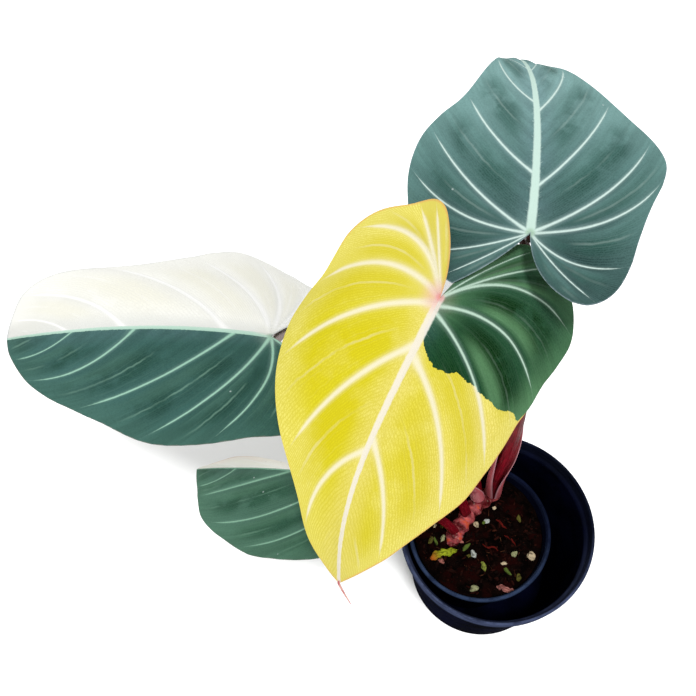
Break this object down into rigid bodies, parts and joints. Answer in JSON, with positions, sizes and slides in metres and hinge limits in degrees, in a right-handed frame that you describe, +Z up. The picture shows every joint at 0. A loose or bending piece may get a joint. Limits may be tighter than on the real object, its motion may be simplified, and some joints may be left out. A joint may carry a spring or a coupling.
{
  "type": "potted philodendron gloriosum",
  "caption": "Philodendron gloriosum with heart-shaped velvety leaves on reddish petioles, rooted in a nursery pot that stands inside a larger pot.",
  "frame": {"origin": "centre of the outer pot's foot, on the surface that it stands on", "axes": "+Z up; the front blade's tip points towards -X and -Y, the back blade's towards +Y, the left and low blades' towards -X"},
  "size_m": [0.4298, 0.3387, 0.3688],
  "materials": {
    "outer_pot": "black plastic with a blue sheen",
    "inner_pot": "black plastic with a blue sheen",
    "soil": "moist bark and peat mix with perlite",
    "rhizome": "fleshy, ringed, red-brown",
    "cataphyll": "fleshy crimson sheath with a pink edge",
    "petiole": "satin, streaked pink, green and red",
    "blade_back": "velvet dark green with pale veins",
    "blade_front": "satin yellow with a dark green sector and pale veins",
    "blade_left": "velvet, half dark green and half cream",
    "blade_low": "velvet, mostly dark green with a cream half turned away"
  },
  "bodies": {
    "root": {"outer_pot": "outer_pot", "inner_pot": "inner_pot", "soil": "soil", "rhizome": "rhizome", "cataphyll_tall": "cataphyll", "cataphyll_short": "cataphyll", "petiole_back": "petiole", "petiole_front": "petiole", "petiole_left": "petiole", "petiole_low": "petiole", "blade_back": "blade_back", "blade_front": "blade_front", "blade_left": "blade_left", "blade_low": "blade_low"}
  },
  "joints": []
}
